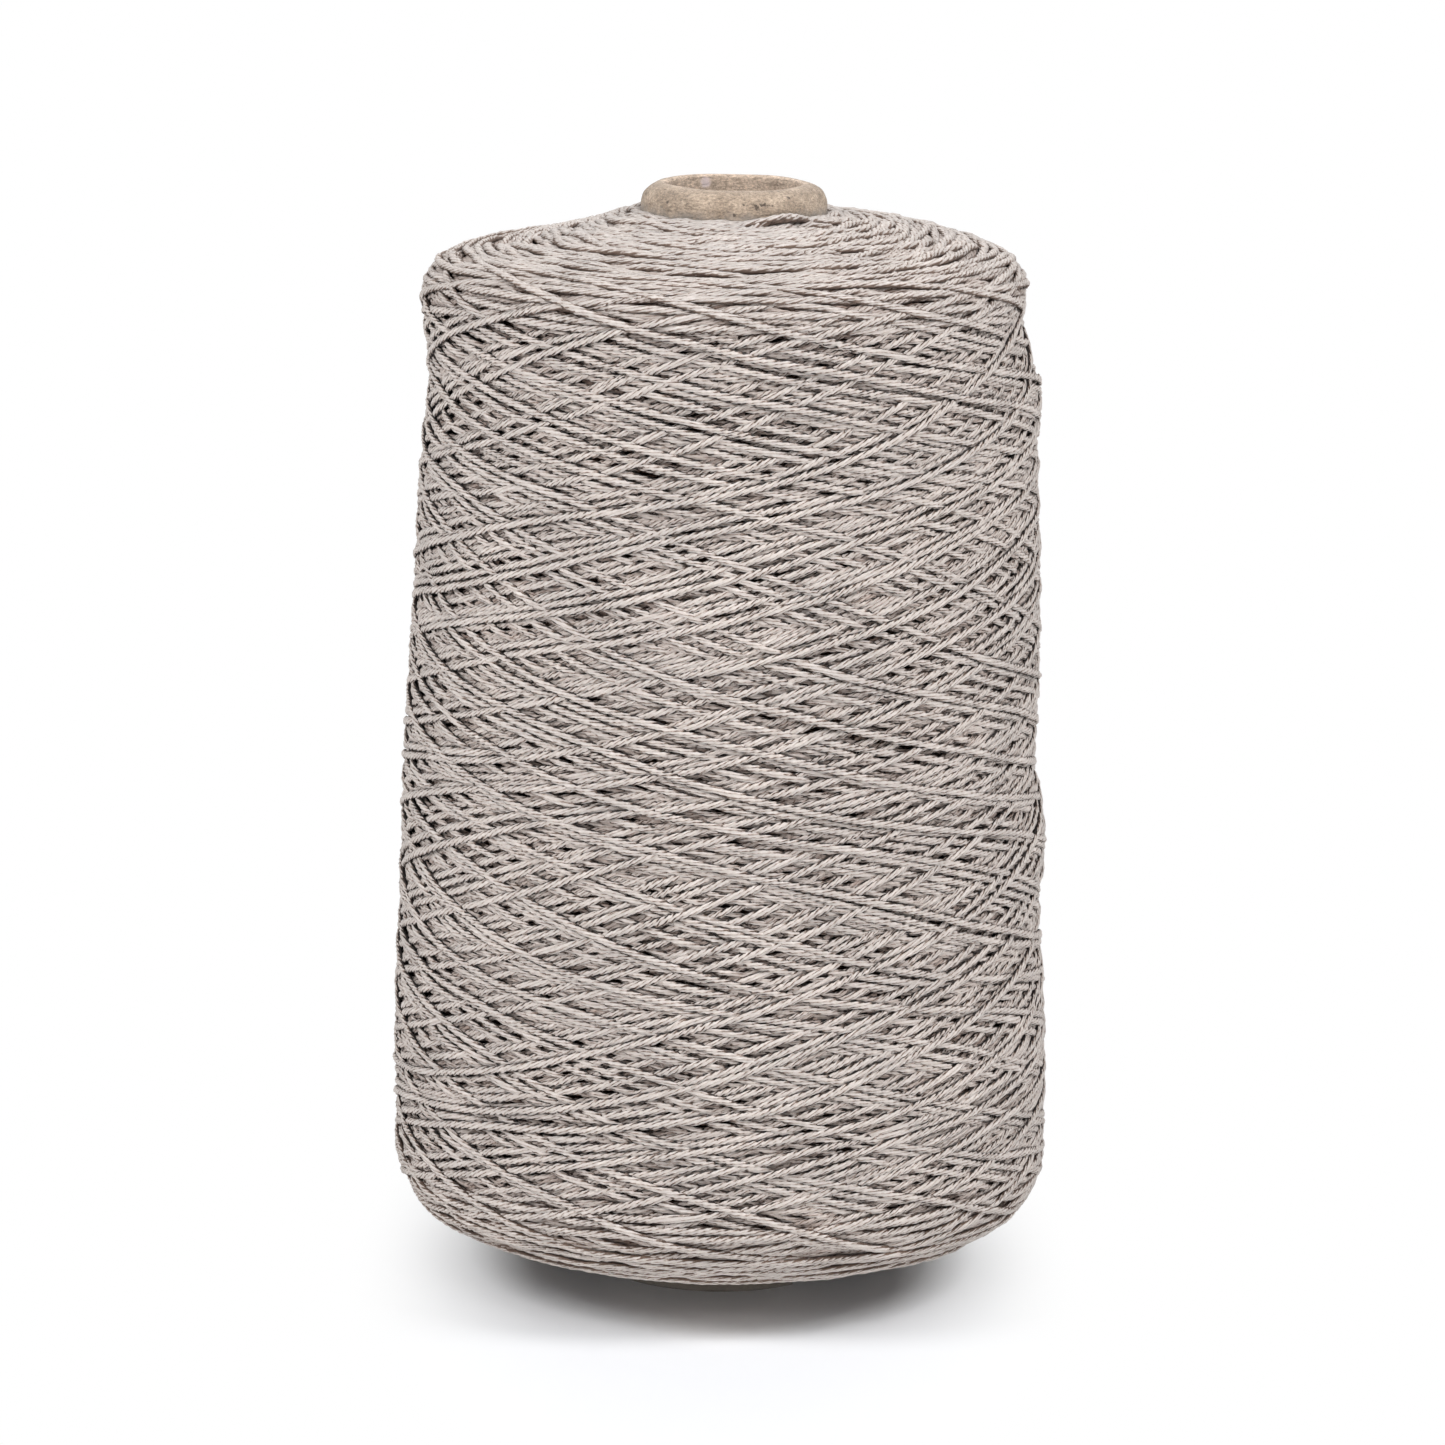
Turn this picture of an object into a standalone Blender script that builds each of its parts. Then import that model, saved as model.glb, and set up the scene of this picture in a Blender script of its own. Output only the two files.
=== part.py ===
"""A cone of cross-wound yarn: a paperboard cone with a rolled nose, and the yarn wound on it.

Metres, +Z up along the cone's axis. The origin is the centre of the base rim, which the cone
stands on. The yarn is one strand: the inner winding is a plain turned body, and the strand's
last strokes, which show, are wound over it as a tube of the yarn's own diameter.
"""
import math

import bmesh
import bpy
import numpy as np
from mathutils import Matrix
from mathutils.kdtree import KDTree

# Paperboard cone
CONE_LENGTH = 0.230
BASE_RADIUS = 0.0250         # outside, at the base rim
NOSE_RADIUS = 0.0191         # outside, at the nose, before its rounding
WALL = 0.0040
RIM_EDGE = 0.0003            # rounding of the cut base rim
NOSE_WALL = 0.0050           # wall where the nose is rolled in
NOSE_INNER_ROUND = 0.0012
ROLL_DEPTH = 0.0090          # how far the rolled-in edge reaches down the bore
ROLL_RUN_OUT = 0.0015        # height over which the rolled edge fades into the wall

# Tail notch in the base rim
NOTCH_WIDTH = 0.0050
NOTCH_HEIGHT = 0.0040
NOTCH_AZIMUTH = math.radians(-43.0)

# Yarn package
PACKAGE_RADIUS = 0.06575     # half-way up the cone
PACKAGE_TAPER = math.radians(1.92)
FACE_SLOPE = math.radians(14.3)     # of both end faces, away from the middle towards the cone
LOWER_SHOULDER = 0.01475     # radius of the package's lower shoulder
UPPER_SHOULDER = 0.0090
BASE_BARE = 0.0037           # bare cone below the yarn
NOSE_BARE = 0.0053           # bare cone above the yarn
FIT = 0.0003                 # clearance of faces that touch

# Outer winding
YARN_DIAMETER = 0.0011
DOUBLE_STROKES = 6           # up and down again
WINDING_TURNS = 23
POINTS_PER_TURN = 24
LAYER_GAP = 0.00045          # between strands where a down stroke crosses an up stroke
REVERSAL_SHARPNESS = math.radians(70.0)     # 90 degrees is a stroke that reverses at a point
LOOSE_END_TURNS = 0.125      # the strand ends this far before it would meet its own start

ROUND_STEPS = 64             # facets of a turned piece
ARC_STEPS = 8                # facets of a rounded corner

CARDBOARD_COLOUR = (0.50, 0.39, 0.27, 1.0)
YARN_COLOUR = (0.50, 0.45, 0.42, 1.0)


def clear_scene():
    for thing in list(bpy.data.objects):
        bpy.data.objects.remove(thing, do_unlink=True)


def new_collection(name):
    collection = bpy.data.collections.new(name)
    bpy.context.scene.collection.children.link(collection)
    return collection


def new_material(name, colour, roughness):
    material = bpy.data.materials.new(name)
    material.use_nodes = True
    shader = material.node_tree.nodes["Principled BSDF"]
    shader.inputs["Base Color"].default_value = colour
    shader.inputs["Roughness"].default_value = roughness
    shader.inputs["Metallic"].default_value = 0.0
    return material


def rounded_outline(corners, radii, steps):
    """Points of a closed outline, each corner replaced by an arc that touches both its sides."""
    points = []
    for i, corner in enumerate(np.array(corners)):
        if radii[i] == 0.0:
            points.append(corner)
            continue
        to_last = corners[i - 1] - corner
        to_next = corners[(i + 1) % len(corners)] - corner
        to_last /= np.linalg.norm(to_last)
        to_next /= np.linalg.norm(to_next)
        half_angle = 0.5 * math.acos(np.dot(to_last, to_next))
        inward = (to_last + to_next) / np.linalg.norm(to_last + to_next)
        centre = corner + inward * radii[i] / math.sin(half_angle)
        start = corner + to_last * radii[i] / math.tan(half_angle) - centre
        end = corner + to_next * radii[i] / math.tan(half_angle) - centre
        sweep = math.pi - 2.0 * half_angle
        for step in range(steps + 1):
            share = step / steps
            blend = math.sin((1.0 - share) * sweep) * start + math.sin(share * sweep) * end
            points.append(centre + blend / math.sin(sweep))
    return np.array(points)


def turned(name, outline, material, collection):
    """A solid of revolution about Z from an outline of (radius, height) points."""
    mesh = bpy.data.meshes.new(name)
    count = len(outline)
    edges = [(i, (i + 1) % count) for i in range(count)]
    mesh.from_pydata([(radius, 0.0, height) for radius, height in outline], edges, [])
    piece = bpy.data.objects.new(name, mesh)
    collection.objects.link(piece)
    piece.data.materials.append(material)
    screw = piece.modifiers.new("turn", "SCREW")
    screw.axis = "Z"
    screw.angle = math.tau
    screw.steps = ROUND_STEPS
    screw.render_steps = ROUND_STEPS
    screw.use_merge_vertices = True
    screw.merge_threshold = 0.00001
    screw.use_smooth_shade = True
    return piece


def cone_radius(height):
    """Outer radius of the cone at a height above its base rim."""
    return BASE_RADIUS + (NOSE_RADIUS - BASE_RADIUS) * height / CONE_LENGTH


def cone_outline():
    """Outside from the nose down to the base rim, then the bore back up to the rolled nose."""
    roll_foot = CONE_LENGTH - ROLL_DEPTH
    wall_top = roll_foot - ROLL_RUN_OUT
    corners = np.array([
        (NOSE_RADIUS, CONE_LENGTH),
        (BASE_RADIUS, 0.0),
        (BASE_RADIUS - WALL, 0.0),
        (cone_radius(wall_top) - WALL, wall_top),
        (cone_radius(roll_foot) - NOSE_WALL, roll_foot),
        (NOSE_RADIUS - NOSE_WALL, CONE_LENGTH),
    ])
    nose_outer_round = NOSE_WALL - NOSE_INNER_ROUND
    radii = [nose_outer_round, RIM_EDGE, RIM_EDGE, 0.0, 0.0, NOSE_INNER_ROUND]
    return rounded_outline(corners, radii, ARC_STEPS)


def notch_cutter(collection):
    """A round-topped slot through the base rim: a cylinder whose lower half is drawn down."""
    overrun = WALL
    length = WALL + 2.0 * overrun
    slot = bmesh.new()
    half_width = 0.5 * NOTCH_WIDTH
    bmesh.ops.create_cone(slot, cap_ends=True, segments=2 * ARC_STEPS, radius1=half_width,
                          radius2=half_width, depth=length)
    bmesh.ops.rotate(slot, verts=slot.verts, matrix=Matrix.Rotation(math.pi / 2.0, 3, "Y"))
    for vert in slot.verts:
        if vert.co.z < -0.1 * half_width:
            vert.co.z -= NOTCH_HEIGHT
    mesh = bpy.data.meshes.new("tail_notch_cutter")
    slot.to_mesh(mesh)
    slot.free()
    cutter = bpy.data.objects.new("tail_notch_cutter", mesh)
    collection.objects.link(cutter)
    middle = BASE_RADIUS - 0.5 * WALL
    cutter.location = (middle * math.cos(NOTCH_AZIMUTH), middle * math.sin(NOTCH_AZIMUTH),
                       NOTCH_HEIGHT - half_width)
    cutter.rotation_euler = (0.0, 0.0, NOTCH_AZIMUTH)
    cutter.hide_render = True
    cutter.display_type = "WIRE"
    return cutter


def package_corners(depth):
    """Corners of the yarn package, its two shoulders drawn in by depth; the cone side stays."""
    lower_inner = np.array((cone_radius(BASE_BARE) + FIT, BASE_BARE))
    upper_height = CONE_LENGTH - NOSE_BARE
    upper_inner = np.array((cone_radius(upper_height) + FIT, upper_height))
    taper = math.tan(PACKAGE_TAPER)
    slope = math.tan(FACE_SLOPE)
    base_side = PACKAGE_RADIUS - depth + taper * 0.5 * CONE_LENGTH
    lower_face = lower_inner[1] + depth - slope * lower_inner[0]
    lower_radius = (base_side - taper * lower_face) / (1.0 + taper * slope)
    upper_face = upper_inner[1] - depth + slope * upper_inner[0]
    upper_radius = (base_side - taper * upper_face) / (1.0 - taper * slope)
    return np.array([
        upper_inner,
        (upper_radius, upper_face - slope * upper_radius),
        (lower_radius, lower_face + slope * lower_radius),
        lower_inner,
    ])


def winding_depth():
    """Room for the outer winding: two layers of yarn, their gap, and the sag of a tube's chords."""
    chord_sag = PACKAGE_RADIUS * (1.0 - math.cos(math.pi / POINTS_PER_TURN))
    return 2.0 * YARN_DIAMETER + LAYER_GAP + chord_sag + FIT


def body_outline():
    depth = winding_depth()
    radii = [0.0, UPPER_SHOULDER - depth, LOWER_SHOULDER - depth, 0.0]
    return rounded_outline(package_corners(depth), radii, ARC_STEPS)


def winding_path():
    """Centre line of the outer yarn.

    The strand turns at a steady rate while it travels along the package's outline, from the
    middle of one shoulder to the middle of the other and back. Up strokes lie in the lower
    layer and down strokes in the upper one, and the strand changes layer in each reversal.
    """
    outline = rounded_outline(package_corners(0.0), [0.0, UPPER_SHOULDER, LOWER_SHOULDER, 0.0],
                              2 * ARC_STEPS)
    upper_middle = 1 + ARC_STEPS
    lower_middle = upper_middle + 2 * ARC_STEPS + 1
    meridian = outline[upper_middle:lower_middle + 1][::-1]
    steps = np.diff(meridian, axis=0)
    travelled = np.concatenate([[0.0], np.cumsum(np.linalg.norm(steps, axis=1))])
    tangents = np.gradient(meridian, travelled, axis=0)
    normals = np.column_stack([tangents[:, 1], -tangents[:, 0]])
    normals /= np.linalg.norm(normals, axis=1)[:, None]

    turns_per_stroke = WINDING_TURNS / DOUBLE_STROKES
    count = int(round((WINDING_TURNS - LOOSE_END_TURNS) * POINTS_PER_TURN)) + 1
    turn = np.arange(count) / POINTS_PER_TURN
    phase = math.tau * turn / turns_per_stroke
    travel = np.arcsin(-math.sin(REVERSAL_SHARPNESS) * np.cos(phase)) / REVERSAL_SHARPNESS
    place = 0.5 * travelled[-1] * (1.0 + travel)
    layer_change = math.sin(math.tau / POINTS_PER_TURN / turns_per_stroke)
    in_lower_layer = 0.5 + 0.5 * np.clip(np.sin(phase) / layer_change, -1.0, 1.0)
    depth = 0.5 * YARN_DIAMETER + (YARN_DIAMETER + LAYER_GAP) * in_lower_layer
    radius = np.interp(place, travelled, meridian[:, 0])
    radius -= depth * np.interp(place, travelled, normals[:, 0])
    height = np.interp(place, travelled, meridian[:, 1])
    height -= depth * np.interp(place, travelled, normals[:, 1])
    angle = math.tau * turn
    return np.column_stack([radius * np.cos(angle), radius * np.sin(angle), height])


def tube(name, path, diameter, material, collection):
    curve = bpy.data.curves.new(name, "CURVE")
    curve.dimensions = "3D"
    curve.bevel_depth = 0.5 * diameter
    curve.bevel_resolution = 1
    curve.use_fill_caps = True
    spline = curve.splines.new("POLY")
    spline.points.add(len(path) - 1)
    homogeneous = np.column_stack([path, np.ones(len(path))])
    spline.points.foreach_set("co", homogeneous.ravel())
    curve.materials.append(material)
    piece = bpy.data.objects.new(name, curve)
    collection.objects.link(piece)
    return piece


def least_gap(path, diameter):
    """Least distance between stretches of the tube that aren't neighbours along it."""
    samples_per_piece = 24
    share = np.arange(samples_per_piece)[:, None] / samples_per_piece
    dense = np.concatenate([a + (b - a) * share for a, b in zip(path[:-1], path[1:])])
    tree = KDTree(len(dense))
    for i, point in enumerate(dense):
        tree.insert(point, i)
    tree.balance()
    reach = 3.0 * diameter
    nearby = 4 * samples_per_piece
    least = reach
    for i, point in enumerate(dense):
        for _, j, distance in tree.find_range(point, reach):
            if abs(i - j) > nearby and distance < least:
                least = distance
    return least - diameter


clear_scene()
model = new_collection("yarn_cone")
cutters = new_collection("cutters")
cardboard = new_material("cardboard", CARDBOARD_COLOUR, 0.9)
yarn = new_material("yarn", YARN_COLOUR, 0.85)

paper_cone = turned("paper_cone", cone_outline(), cardboard, model)
notch = paper_cone.modifiers.new("tail_notch", "BOOLEAN")
notch.operation = "DIFFERENCE"
notch.object = notch_cutter(cutters)

turned("yarn_body", body_outline(), yarn, model)

strand = winding_path()
tube("outer_winding", strand, YARN_DIAMETER, yarn, model)
print(f"outer winding: {WINDING_TURNS} turns, least gap to itself "
      f"{1000.0 * least_gap(strand, YARN_DIAMETER):.2f} mm")
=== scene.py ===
"""A cone of cross-wound greige yarn: a paperboard cone with a rolled nose, and one long strand
wound over it, up and down, until the package is 137 mm across.

Metres, +Z up along the cone's axis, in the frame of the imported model. The photograph looks
along +Y.
"""
import math

import bpy
import numpy as np
from mathutils import Matrix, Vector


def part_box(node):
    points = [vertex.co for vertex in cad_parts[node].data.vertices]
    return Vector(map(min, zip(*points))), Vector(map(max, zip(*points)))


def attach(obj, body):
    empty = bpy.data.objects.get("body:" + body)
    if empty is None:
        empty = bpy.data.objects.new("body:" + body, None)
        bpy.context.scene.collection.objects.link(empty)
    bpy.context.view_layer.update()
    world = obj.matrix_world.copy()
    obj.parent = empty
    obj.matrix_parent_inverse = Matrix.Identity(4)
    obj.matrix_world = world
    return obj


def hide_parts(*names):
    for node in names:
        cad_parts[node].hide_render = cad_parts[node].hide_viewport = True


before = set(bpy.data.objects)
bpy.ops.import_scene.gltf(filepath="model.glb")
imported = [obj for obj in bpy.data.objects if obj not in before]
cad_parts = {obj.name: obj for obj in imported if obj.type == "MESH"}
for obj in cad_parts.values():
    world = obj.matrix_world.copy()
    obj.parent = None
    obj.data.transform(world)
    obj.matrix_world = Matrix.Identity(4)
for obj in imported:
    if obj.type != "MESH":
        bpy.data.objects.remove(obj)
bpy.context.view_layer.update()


# ---------------------------------------------------------------------------------------------
# The paperboard cone. Wet plies of pulp board are rolled on a tapered mandrel and glued, and the
# nose is turned in and pressed round while it is soft. The base is cut square, with a notch that
# holds the start of the yarn. It is all dried tan board: mottled, a little furry, and scuffed.

_, cone_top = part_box("paper_cone")
CONE_LENGTH = cone_top.z
BASE_RADIUS = 0.0250
NOSE_RADIUS = 0.0191
WALL = 0.0040
NOSE_WALL = 0.0050
NOSE_INNER_ROUND = 0.0007
NOSE_OUTER_ROUND = NOSE_WALL - NOSE_INNER_ROUND
ROLL_DEPTH = 0.0090              # how far down the turned-in nose reaches
ROLL_RUN_OUT = 0.0030            # the slope from there to the plain wall
RIM_EDGE = 0.0004
CONE_SEGMENTS = 288
WAVER_DEPTH = 0.016              # how far below its top the nose is uneven
BROAD_WAVER = 0.00009
FINE_WAVER = 0.00006
TOP_WAVER = 0.00012
NOTCH_WIDTH = 0.0050
NOTCH_HEIGHT = 0.0040
NOTCH_AZIMUTH = math.radians(-43.0)


def rounded_corner(before, corner, after, radius, steps):
    """Points of the arc of that radius which touches both sides of a corner: the arc's two end
    radii, blended by the sines of the angles that are left and that are done."""
    to_before = (before - corner) / np.linalg.norm(before - corner)
    to_after = (after - corner) / np.linalg.norm(after - corner)
    half_angle = 0.5 * math.acos(to_before @ to_after)
    inward = (to_before + to_after) / np.linalg.norm(to_before + to_after)
    centre = corner + inward * radius / math.sin(half_angle)
    first = corner + to_before * radius / math.tan(half_angle) - centre
    last = corner + to_after * radius / math.tan(half_angle) - centre
    sweep = math.pi - 2.0 * half_angle
    share = np.linspace(0.0, 1.0, steps + 1)[:, None]
    return centre + (np.sin((1.0 - share) * sweep) * first
                     + np.sin(share * sweep) * last) / math.sin(sweep)


def run_along(points):
    """The length of a polyline up to each of its points."""
    steps = np.linalg.norm(np.diff(points, axis=0), axis=1)
    return np.concatenate([[0.0], np.cumsum(steps)])


def spaced(points, spacing):
    """The same polyline with points at even spacing along it."""
    run = run_along(points)
    even = np.linspace(0.0, run[-1], max(2, int(round(run[-1] / spacing)) + 1))
    return np.column_stack([np.interp(even, run, column) for column in points.T])


def straight(start, end, spacing):
    """Evenly spaced points of a straight wall, without its start and with its end."""
    return spaced(np.array([start, end]), spacing)[1:]


def cone_radius(height):
    """The cone's outer radius at a height, by its straight taper."""
    return BASE_RADIUS + (NOSE_RADIUS - BASE_RADIUS) * height / CONE_LENGTH


def cone_profile():
    """(radius, height) over the nose's round shoulder, down the outside, across the base rim, and
    up the bore to the nose's lip. The points lie closer near the nose and the base."""
    roll_foot = CONE_LENGTH - ROLL_DEPTH
    wall_top = roll_foot - ROLL_RUN_OUT
    nose = np.array((NOSE_RADIUS, CONE_LENGTH))
    base = np.array((BASE_RADIUS, 0.0))
    base_inner = np.array((BASE_RADIUS - WALL, 0.0))
    wall_end = np.array((cone_radius(wall_top) - WALL, wall_top))
    roll_end = np.array((cone_radius(roll_foot) - NOSE_WALL, roll_foot))
    nose_inner = np.array((NOSE_RADIUS - NOSE_WALL, CONE_LENGTH))
    shoulder = rounded_corner(nose_inner, nose, base, NOSE_OUTER_ROUND, steps=22)
    outer_edge = rounded_corner(nose, base, base_inner, RIM_EDGE, steps=4)
    inner_edge = rounded_corner(base, base_inner, wall_end, RIM_EDGE, steps=4)
    lip = rounded_corner(roll_end, nose_inner, nose, NOSE_INNER_ROUND, steps=10)
    flank = outer_edge[0] - shoulder[-1]
    neck = shoulder[-1] + flank * 0.045
    foot = shoulder[-1] + flank * 0.97
    return np.vstack([
        shoulder,
        straight(shoulder[-1], neck, 0.0006),
        straight(neck, foot, 0.006),
        straight(foot, outer_edge[0], 0.0007),
        outer_edge[1:],
        straight(outer_edge[-1], inner_edge[0], 0.0007),
        inner_edge[1:],
        straight(inner_edge[-1], wall_end, 0.004),
        straight(wall_end, roll_end, 0.0008),
        straight(roll_end, lip[0], 0.0008),
        lip[1:],
    ])


def waves(angle, height, seed, count, most_turns, wavelength):
    """A smooth uneven field: cosines of whole turns round the axis and random phases, each
    drifting round with the height, summed to about unit size."""
    draw = np.random.default_rng(seed)
    total = np.zeros(np.broadcast(angle, height).shape)
    for _ in range(count):
        turns = draw.integers(2, most_turns)
        along = draw.uniform(-math.tau, math.tau) / wavelength
        total += np.cos(turns * angle + along * height + draw.uniform(0.0, math.tau))
    return total / math.sqrt(0.5 * count)


def grid_mesh(name, points, uv):
    """A mesh of quads over a grid of points (along, across, xyz) that closes on itself both ways.
    The function uv gives the UVs of a row and a column."""
    along, across = points.shape[:2]
    row, column = np.mgrid[0:along, 0:across]
    corners = ((0, 0), (1, 0), (1, 1), (0, 1))
    quads = np.stack([(row + i) % along * across + (column + j) % across for i, j in corners],
                     axis=-1)
    corner_uv = np.stack([uv(row + i, column + j) for i, j in corners], axis=2)
    return quad_mesh(name, points.reshape(-1, 3), quads.reshape(-1, 4), corner_uv.reshape(-1, 2))


def quad_mesh(name, vertices, quads, corner_uv):
    """A smooth-shaded mesh object from arrays of vertices, quads and one UV for each corner."""
    mesh = bpy.data.meshes.new(name)
    mesh.vertices.add(len(vertices))
    mesh.vertices.foreach_set("co", vertices.astype(np.float32).ravel())
    mesh.loops.add(quads.size)
    mesh.loops.foreach_set("vertex_index", quads.astype(np.int32).ravel())
    mesh.polygons.add(len(quads))
    mesh.polygons.foreach_set("loop_start", np.arange(0, quads.size, 4, dtype=np.int32))
    mesh.uv_layers.new(name="UVMap")
    mesh.uv_layers["UVMap"].data.foreach_set("uv", corner_uv.astype(np.float32).ravel())
    mesh.update(calc_edges=True)
    mesh.validate()
    mesh.shade_smooth()
    piece = bpy.data.objects.new(name, mesh)
    bpy.context.scene.collection.objects.link(piece)
    return piece


def make_cone():
    """The profile turned about Z. The round nose wavers by a few hundredths of a millimetre, as
    pressed board does, and the waver dies out down the wall. A UV unit is about a centimetre."""
    profile = cone_profile()
    angle = np.arange(CONE_SEGMENTS) * math.tau / CONE_SEGMENTS
    radius, height = profile[:, 0][:, None], profile[:, 1][:, None]
    near_nose = np.clip(1.0 - (CONE_LENGTH - height) / WAVER_DEPTH, 0.0, 1.0)
    waver = BROAD_WAVER * waves(angle, height, seed=5, count=14, most_turns=9, wavelength=0.020)
    waver = waver + FINE_WAVER * waves(angle, height, seed=6, count=30, most_turns=70,
                                       wavelength=0.003)
    radius = radius + near_nose * waver
    dents = 1.0 + 0.6 * waves(angle, 0.0 * height, seed=9, count=8, most_turns=6,
                              wavelength=0.02)
    height = np.minimum(height - TOP_WAVER * near_nose * dents, CONE_LENGTH)
    points = np.stack([radius * np.cos(angle), radius * np.sin(angle), height], axis=-1)
    run = run_along(profile)
    run = np.append(run, run[-1] + np.linalg.norm(profile[0] - profile[-1]))
    return grid_mesh("pulp_board_cone", points,
                     lambda row, column: np.stack([column / CONE_SEGMENTS * 12.0,
                                                   run[row] / run[-1] * 40.0], axis=-1))


cone = make_cone()


def cut_notch(piece):
    """Cuts a round-topped slot through the base rim, where the yarn's start is held."""
    half_width = 0.5 * NOTCH_WIDTH
    below_rim = -0.002
    turn = np.linspace(0.0, math.pi, 17)
    outline = np.column_stack([half_width * np.cos(turn),
                               NOTCH_HEIGHT - half_width + half_width * np.sin(turn)])
    outline = np.vstack([(half_width, below_rim), outline, (-half_width, below_rim)])
    inside, outside = BASE_RADIUS - 2.0 * WALL, BASE_RADIUS + WALL
    count = len(outline)
    ends = [np.column_stack([np.full(count, reach), outline]) for reach in (inside, outside)]
    sides = [(i, (i + 1) % count, (i + 1) % count + count, i + count) for i in range(count)]
    caps = [tuple(range(count))[::-1], tuple(range(count, 2 * count))]
    mesh = bpy.data.meshes.new("notch_cutter")
    mesh.from_pydata(np.vstack(ends).tolist(), [], sides + caps)
    mesh.transform(Matrix.Rotation(NOTCH_AZIMUTH, 4, "Z"))
    cutter = bpy.data.objects.new("notch_cutter", mesh)
    bpy.context.scene.collection.objects.link(cutter)
    cut = piece.modifiers.new("notch", "BOOLEAN")
    cut.operation = "DIFFERENCE"
    cut.object = cutter
    bpy.context.view_layer.update()
    shaped = bpy.data.meshes.new_from_object(
        piece.evaluated_get(bpy.context.evaluated_depsgraph_get()))
    piece.modifiers.clear()
    piece.data = shaped
    bpy.data.objects.remove(cutter)


cut_notch(cone)


def set_inputs(tree, node, inputs):
    """Links each input that is given a socket to it, and sets any other input to the value."""
    for name, value in inputs.items():
        if isinstance(value, bpy.types.NodeSocket):
            tree.links.new(value, node.inputs[name])
        else:
            node.inputs[name].default_value = value


def add_node(tree, kind, inputs=None, **settings):
    """Adds a shader node with its settings, and then its inputs."""
    made = tree.nodes.new(kind)
    for name, value in settings.items():
        setattr(made, name, value)
    set_inputs(tree, made, inputs or {})
    return made


def math_node(tree, operation, a, b=0.0):
    return add_node(tree, "ShaderNodeMath", {0: a, 1: b}, operation=operation).outputs[0]


def plus(tree, a, b):
    return math_node(tree, "ADD", a, b)


def minus(tree, a, b):
    return math_node(tree, "SUBTRACT", a, b)


def times(tree, a, b):
    return math_node(tree, "MULTIPLY", a, b)


def vector_node(tree, operation, a, b=(0.0, 0.0, 0.0)):
    return add_node(tree, "ShaderNodeVectorMath", {0: a, 1: b}, operation=operation)


def scaled(tree, vector, scale):
    """A position with each of its axes scaled."""
    return add_node(tree, "ShaderNodeMapping", {"Vector": vector, "Scale": scale}).outputs["Vector"]


def split(tree, vector):
    """The three outputs X, Y and Z of a vector."""
    return add_node(tree, "ShaderNodeSeparateXYZ", {0: vector}).outputs


def mixed(tree, share, a, b, blend="MIX"):
    """The colour a with so much of b mixed in, or blended by another rule."""
    made = add_node(tree, "ShaderNodeMix", {0: share, 6: a, 7: b},
                    data_type="RGBA", blend_type=blend)
    return made.outputs[2]


def stained(tree, colour, mask, share, stain):
    """The colour, stained where the mask is, as strongly as the share says."""
    return mixed(tree, times(tree, mask, share), colour, stain)


def ramp(tree, value, low, high):
    """0 below low, 1 above high, and a smooth step between."""
    made = add_node(tree, "ShaderNodeMapRange", {"Value": value, "From Min": low, "From Max": high},
                    interpolation_type="SMOOTHSTEP")
    return made.outputs["Result"]


def fall(tree, value, low, high):
    """1 below low, 0 above high, and a smooth step between."""
    return minus(tree, 1.0, ramp(tree, value, low, high))


def noise(tree, vector, scale, detail=3.0, roughness=0.6):
    made = add_node(tree, "ShaderNodeTexNoise",
                    {"Vector": vector, "Scale": scale, "Detail": detail, "Roughness": roughness})
    return made.outputs["Fac"]


def bump(tree, height, distance):
    """The normal of a surface whose height from 0 to 1 stands for the distance."""
    made = add_node(tree, "ShaderNodeBump",
                    {"Height": height, "Distance": distance, "Strength": 1.0})
    return made.outputs["Normal"]


def new_finish(name):
    """A material with a bare Principled BSDF, and its tree."""
    material = bpy.data.materials.new(name)
    material.use_nodes = True
    return material, material.node_tree, material.node_tree.nodes["Principled BSDF"]


def make_mottle_group():
    """Uneven natural colour, as pulp board and undyed yarn both have: a broad drift between two
    tones, and a fine fleck that darkens or lightens it."""
    group = bpy.data.node_groups.new("fibre_mottle", "ShaderNodeTree")
    sockets = [("Vector", "NodeSocketVector"), ("Light", "NodeSocketColor"),
               ("Dark", "NodeSocketColor"), ("Drift Scale", "NodeSocketFloat"),
               ("Fleck Scale", "NodeSocketFloat"), ("Fleck", "NodeSocketFloat")]
    for name, kind in sockets:
        group.interface.new_socket(name, in_out="INPUT", socket_type=kind)
    group.interface.new_socket("Color", in_out="OUTPUT", socket_type="NodeSocketColor")
    group.interface.new_socket("Fleck Height", in_out="OUTPUT", socket_type="NodeSocketFloat")
    given = group.nodes.new("NodeGroupInput").outputs
    result = group.nodes.new("NodeGroupOutput")
    drift = noise(group, given["Vector"], given["Drift Scale"], detail=4.0)
    fleck = noise(group, given["Vector"], given["Fleck Scale"], detail=6.0, roughness=0.75)
    tone = mixed(group, ramp(group, drift, 0.32, 0.68), given["Dark"], given["Light"])
    gain = plus(group, times(group, minus(group, fleck, 0.5), given["Fleck"]), 1.0)
    grey = add_node(group, "ShaderNodeCombineColor", {"Red": gain, "Green": gain, "Blue": gain})
    flecked = mixed(group, 1.0, tone, grey.outputs["Color"], "MULTIPLY")
    set_inputs(group, result, {"Color": flecked, "Fleck Height": fleck})
    return group


MOTTLE = make_mottle_group()


def mottle(tree, vector, light, dark, drift_scale, fleck_scale, fleck):
    """The mottled colour between light and dark, and the height of its flecks."""
    made = add_node(tree, "ShaderNodeGroup",
                    {"Vector": vector, "Light": light, "Dark": dark, "Drift Scale": drift_scale,
                     "Fleck Scale": fleck_scale, "Fleck": fleck}, node_tree=MOTTLE)
    return made.outputs["Color"], made.outputs["Fleck Height"]


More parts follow.
